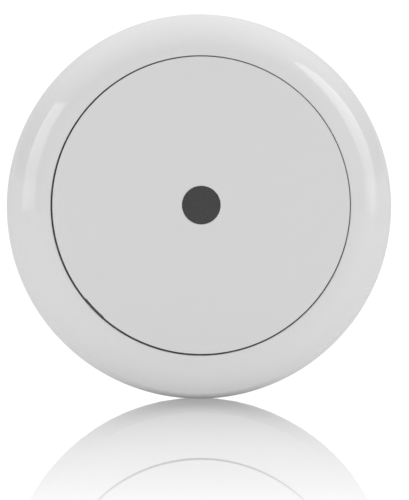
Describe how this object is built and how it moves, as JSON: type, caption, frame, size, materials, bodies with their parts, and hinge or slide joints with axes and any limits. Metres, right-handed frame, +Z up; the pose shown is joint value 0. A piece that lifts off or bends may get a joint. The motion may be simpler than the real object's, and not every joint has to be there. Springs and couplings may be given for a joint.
{
  "type": "motion sensor",
  "caption": "Round wall-mounted passive infrared motion sensor: glossy bezel ring, satin front disc with a small dark centre window, bayonet wall plate and battery electronics.",
  "frame": {"origin": "centre of the wall plate's back face, the face that lies on the wall", "axes": "+Y into the wall, so the front faces -Y; +Z up the wall; +X to the right as seen from the room"},
  "size_m": [0.11, 0.0367, 0.11],
  "materials": {
    "white_gloss": "high gloss white moulding",
    "white_satin": "satin white moulding",
    "white_moulding": "plain white moulding",
    "smoked_lens": "dark grey infrared-transmitting plastic, satin",
    "black_plastic": "black moulding",
    "black_rubber": "soft black foam rubber",
    "board_green": "glass-fibre circuit board with green solder mask",
    "board_blue": "glass-fibre module board with blue solder mask",
    "steel": "plated steel",
    "brass": "bare drawn wire",
    "button_grey": "grey moulding",
    "trimmer_blue": "blue moulding",
    "cell_sleeve": "printed sleeve over a metal can",
    "lead_red": "red insulation",
    "lead_black": "black insulation"
  },
  "bodies": {
    "wall_mount": {"wall_plate": "white_moulding"},
    "sensor": {"rear_shell": "white_moulding", "bezel_ring": "white_gloss", "main_board": "board_green", "pir_spacer": "white_moulding", "pir_can": "steel", "pir_filter": "smoked_lens", "sensor_shroud": "black_rubber", "status_led": "white_satin", "processor_chip": "black_plastic", "amplifier_chip": "black_plastic", "regulator_chip": "black_plastic", "radio_board": "board_blue", "radio_shield": "steel", "crystal_can": "steel", "buffer_capacitor": "black_plastic", "antenna_coil": "brass", "test_switch": "black_plastic", "trimmer_body": "trimmer_blue", "tamper_switch": "black_plastic", "tamper_spring": "steel", "battery_tray": "black_plastic", "battery_cell": "cell_sleeve", "battery_spring": "steel", "positive_contact": "steel", "negative_contact": "steel", "positive_lead": "lead_red", "negative_lead": "lead_black", "housing_screw_1": "steel", "board_screw_1": "steel", "housing_screw_2": "steel", "board_screw_2": "steel", "housing_screw_3": "steel", "board_screw_3": "steel", "tray_screw_1": "steel", "tray_screw_2": "steel"},
    "cover": {"front_disc": "white_satin", "lens_window": "smoked_lens", "lens_retainer": "black_plastic"},
    "test_button": {"test_button": "button_grey"},
    "tamper_plunger": {"tamper_plunger": "button_grey"},
    "trimmer": {"trimmer_rotor": "white_moulding"}
  },
  "joints": [
    {"name": "mount_twist", "type": "hinge", "parent": "wall_mount", "child": "sensor", "pos_m": [0, -0.011, 0], "axis": [0, -1, 0], "range_deg": [0, 18]},
    {"name": "cover_pull", "type": "slide", "parent": "sensor", "child": "cover", "axis": [0, -1, 0], "range_m": [0, 0.014]},
    {"name": "test_press", "type": "slide", "parent": "sensor", "child": "test_button", "axis": [0, 1, 0], "range_m": [0, 0.0003], "stiffness_N_per_m": 5000},
    {"name": "tamper_slide", "type": "slide", "parent": "sensor", "child": "tamper_plunger", "axis": [0, 1, 0], "range_m": [0, 0.0015], "deforming": ["tamper_spring"]},
    {"name": "trimmer_turn", "type": "hinge", "parent": "sensor", "child": "trimmer", "pos_m": [0.02, -0.0243, 0.0135], "axis": [0, -1, 0], "range_deg": [-120, 120]}
  ],
  "couplings": [
    {"joint": "tamper_slide", "follows": "mount_twist", "m_per_rad": 0.004774}
  ]
}
